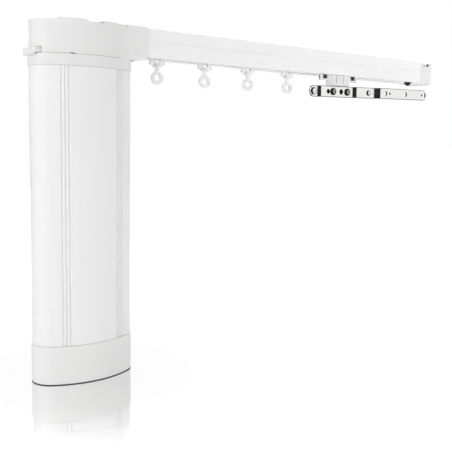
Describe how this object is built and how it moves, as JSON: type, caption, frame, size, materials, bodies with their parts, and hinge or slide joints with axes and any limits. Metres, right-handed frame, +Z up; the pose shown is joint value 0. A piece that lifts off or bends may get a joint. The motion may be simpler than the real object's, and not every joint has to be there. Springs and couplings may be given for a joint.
{
  "type": "electric curtain track",
  "caption": "White electric curtain track: an oval motor hangs below one end, and a belt draws a carrier with an overlap arm behind swivel-eye gliders.",
  "frame": {"origin": "middle of the track's length on its flat top face", "axes": "+X along the track away from the motor, -Y to the room, +Z up to the ceiling"},
  "size_m": [0.4701, 0.0472, 0.277],
  "materials": {
    "white_plastic": "satin moulded",
    "white_coated_metal": "satin powder coat",
    "nickel_plate": "bright plated",
    "zinc_steel": "plain",
    "dark_steel": "black oxide",
    "black_rubber": "matt",
    "belt_rubber": "matt",
    "grey_nylon": "matt",
    "gear_case": "cast",
    "board_green": "coated",
    "dark_plastic": "matt",
    "contact_brass": "plain",
    "bush_bronze": "sintered",
    "button_grey": "matt",
    "lamp_clear": "clear"
  },
  "bodies": {
    "frame": {"bottom_cap": "white_plastic", "motor_sleeve": "white_coated_metal", "top_collar": "white_plastic", "cap_screws": "zinc_steel", "collar_screws": "zinc_steel", "gearbox": "gear_case", "gearbox_screws": "zinc_steel", "motor_can": "zinc_steel", "motor_rings": "black_rubber", "control_board": "board_green", "board_parts": "dark_plastic", "power_inlet": "dark_plastic", "inlet_contacts": "contact_brass", "status_lamp": "lamp_clear", "pulley_bushes": "bush_bronze", "drive_housing": "white_plastic", "housing_base": "grey_nylon", "base_screws": "zinc_steel", "latch_studs": "zinc_steel", "track": "white_coated_metal", "track_screw": "zinc_steel", "track_nut": "zinc_steel", "belt": "belt_rubber", "return_axle": "zinc_steel", "end_cap": "white_plastic", "end_cap_screw": "dark_steel", "end_cap_washer": "dark_steel", "end_pin": "dark_steel"},
    "drive_train": {"drive_pulley": "grey_nylon", "output_shaft": "zinc_steel"},
    "return_wheel": {"return_pulley": "grey_nylon"},
    "latch": {"motor_latch": "white_plastic"},
    "button": {"setting_button": "button_grey"},
    "carrier": {"carrier_body": "white_plastic", "carrier_buffers": "black_rubber", "belt_clamp": "grey_nylon", "clamp_screw": "zinc_steel", "overlap_arm": "nickel_plate", "arm_screws": "nickel_plate", "arm_rivet": "nickel_plate"},
    "wheels_1": {"wheel_axle_1": "zinc_steel", "carrier_wheels_1": "grey_nylon"},
    "wheels_2": {"wheel_axle_2": "zinc_steel", "carrier_wheels_2": "grey_nylon"},
    "runner_1": {"glider_1": "white_plastic"},
    "hook_1": {"eye_1": "white_plastic"},
    "runner_2": {"glider_2": "white_plastic"},
    "hook_2": {"eye_2": "white_plastic"},
    "runner_3": {"glider_3": "white_plastic"},
    "hook_3": {"eye_3": "white_plastic"},
    "runner_4": {"glider_4": "white_plastic"},
    "hook_4": {"eye_4": "white_plastic"}
  },
  "joints": [
    {"name": "carrier_slide", "type": "slide", "parent": "frame", "child": "carrier", "axis": [1, 0, 0], "range_m": [-0.13, 0.083]},
    {"name": "drive_spin", "type": "hinge", "parent": "frame", "child": "drive_train", "pos_m": [-0.2235, 0, -0.0099], "axis": [0, 0, 1], "continuous": true},
    {"name": "return_spin", "type": "hinge", "parent": "frame", "child": "return_wheel", "pos_m": [0.19134, 0, -0.0099], "axis": [0, 0, 1], "continuous": true},
    {"name": "wheels_1_spin", "type": "hinge", "parent": "carrier", "child": "wheels_1", "pos_m": [0.0404, 0, -0.0173], "axis": [0, 1, 0], "continuous": true},
    {"name": "wheels_2_spin", "type": "hinge", "parent": "carrier", "child": "wheels_2", "pos_m": [0.0704, 0, -0.0173], "axis": [0, 1, 0], "continuous": true},
    {"name": "latch_slide", "type": "slide", "parent": "frame", "child": "latch", "axis": [-1, 0, 0], "range_m": [0, 0.007]},
    {"name": "button_press", "type": "slide", "parent": "frame", "child": "button", "axis": [0, 0, 1], "range_m": [0, 0.0008], "stiffness_N_per_m": 1500},
    {"name": "runner_1_slide", "type": "slide", "parent": "frame", "child": "runner_1", "axis": [1, 0, 0], "range_m": [-0.0085, 0.0055]},
    {"name": "hook_1_swivel", "type": "hinge", "parent": "runner_1", "child": "hook_1", "pos_m": [-0.1532, 0, -0.0269], "axis": [0, 0, 1], "continuous": true},
    {"name": "runner_2_slide", "type": "slide", "parent": "frame", "child": "runner_2", "axis": [1, 0, 0], "range_m": [-0.0408, 0.0261]},
    {"name": "hook_2_swivel", "type": "hinge", "parent": "runner_2", "child": "hook_2", "pos_m": [-0.1035, 0, -0.0269], "axis": [0, 0, 1], "continuous": true},
    {"name": "runner_3_slide", "type": "slide", "parent": "frame", "child": "runner_3", "axis": [1, 0, 0], "range_m": [-0.0729, 0.0466]},
    {"name": "hook_3_swivel", "type": "hinge", "parent": "runner_3", "child": "hook_3", "pos_m": [-0.0538, 0, -0.0269], "axis": [0, 0, 1], "continuous": true},
    {"name": "runner_4_slide", "type": "slide", "parent": "frame", "child": "runner_4", "axis": [1, 0, 0], "range_m": [-0.1051, 0.0672]},
    {"name": "hook_4_swivel", "type": "hinge", "parent": "runner_4", "child": "hook_4", "pos_m": [-0.0041, 0, -0.0269], "axis": [0, 0, 1], "continuous": true}
  ],
  "couplings": [
    {"joint": "drive_spin", "follows": "carrier_slide", "rad_per_m": 125.66},
    {"joint": "return_spin", "follows": "carrier_slide", "rad_per_m": 125.66},
    {"joint": "wheels_1_spin", "follows": "carrier_slide", "rad_per_m": 333.33},
    {"joint": "wheels_2_spin", "follows": "carrier_slide", "rad_per_m": 333.33},
    {"joint": "runner_1_slide", "follows": "carrier_slide", "ratio": 0.064},
    {"joint": "runner_2_slide", "follows": "carrier_slide", "ratio": 0.312},
    {"joint": "runner_3_slide", "follows": "carrier_slide", "ratio": 0.559},
    {"joint": "runner_4_slide", "follows": "carrier_slide", "ratio": 0.807}
  ]
}
